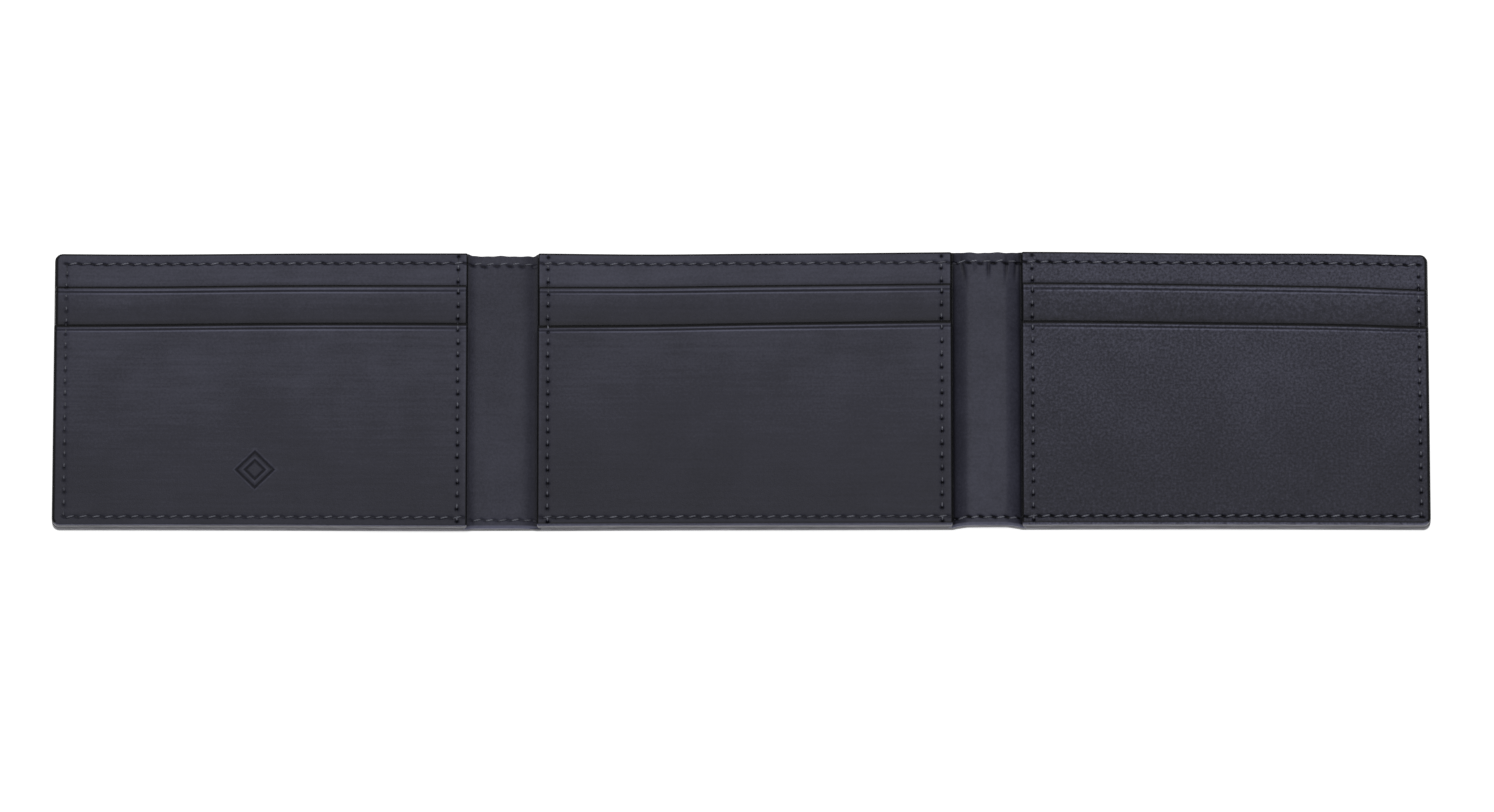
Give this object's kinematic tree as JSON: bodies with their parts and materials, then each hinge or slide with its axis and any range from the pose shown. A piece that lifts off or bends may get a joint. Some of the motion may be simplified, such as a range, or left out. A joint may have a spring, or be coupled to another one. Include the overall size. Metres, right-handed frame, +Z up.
{
  "type": "trifold wallet",
  "caption": "Slim leather trifold card wallet, opened flat, with three slotted pocket panels joined by two flexible spines that fold over each other.",
  "frame": {"origin": "centre of the underside of the opened wallet", "axes": "+X along the row of panels from left to right, +Y towards the open ends of the pockets, +Z up out of the pockets"},
  "size_m": [0.329, 0.0684, 0.0052],
  "materials": {
    "cover_leather": "smooth, satin, fine grain",
    "pocket_leather": "smooth, satin, fine grain",
    "lining_fabric": "matt weave",
    "reinforcement_board": "bonded leather board, hidden",
    "sewing_thread": "twisted polyester thread"
  },
  "bodies": {
    "middle_panel": {"middle_cover": "cover_leather", "middle_interlining": "reinforcement_board", "middle_liner": "cover_leather", "middle_pocket_backing": "pocket_leather", "middle_upper_pocket_lining": "lining_fabric", "middle_upper_pocket": "pocket_leather", "middle_lower_pocket": "pocket_leather", "middle_stitching": "sewing_thread", "right_spine_inner_cover": "cover_leather", "right_spine_inner_liner": "cover_leather", "right_spine_inner_top_thread": "sewing_thread", "right_spine_inner_bottom_thread": "sewing_thread"},
    "left_panel": {"left_cover": "cover_leather", "left_interlining": "reinforcement_board", "left_liner": "cover_leather", "left_pocket_backing": "pocket_leather", "left_upper_pocket_lining": "lining_fabric", "left_upper_pocket": "pocket_leather", "left_lower_pocket": "pocket_leather", "left_stitching": "sewing_thread"},
    "right_panel": {"right_cover": "cover_leather", "right_interlining": "reinforcement_board", "right_liner": "cover_leather", "right_pocket_backing": "pocket_leather", "right_upper_pocket_lining": "lining_fabric", "right_upper_pocket": "pocket_leather", "right_lower_pocket": "pocket_leather", "right_stitching": "sewing_thread", "right_spine_outer_cover": "cover_leather", "right_spine_outer_liner": "cover_leather", "right_spine_outer_top_thread": "sewing_thread", "right_spine_outer_bottom_thread": "sewing_thread"},
    "right_spine": {"right_spine_mid_cover": "cover_leather", "right_spine_mid_liner": "cover_leather", "right_spine_mid_top_thread": "sewing_thread", "right_spine_mid_bottom_thread": "sewing_thread"},
    "left_spine": {"left_spine_mid_cover": "cover_leather", "left_spine_mid_liner": "cover_leather", "left_spine_mid_top_thread": "sewing_thread", "left_spine_mid_bottom_thread": "sewing_thread"}
  },
  "joints": [
    {"name": "right_fold_1", "type": "hinge", "parent": "middle_panel", "child": "right_spine", "pos_m": [0.0556, 0, 0.00327], "axis": [0, -1, 0], "range_deg": [0, 90]},
    {"name": "right_fold_2", "type": "hinge", "parent": "right_spine", "child": "right_panel", "pos_m": [0.062, 0, 0.00327], "axis": [0, -1, 0], "range_deg": [0, 90]},
    {"name": "left_fold_1", "type": "hinge", "parent": "middle_panel", "child": "left_spine", "pos_m": [-0.0501, 0, 0.0024], "axis": [0, 1, 0], "range_deg": [0, 90]},
    {"name": "left_fold_2", "type": "hinge", "parent": "left_spine", "child": "left_panel", "pos_m": [-0.0642, 0, 0.0024], "axis": [0, 1, 0], "range_deg": [0, 90]}
  ],
  "couplings": [
    {"joint": "right_fold_2", "follows": "right_fold_1", "ratio": 1},
    {"joint": "left_fold_2", "follows": "left_fold_1", "ratio": 1}
  ]
}
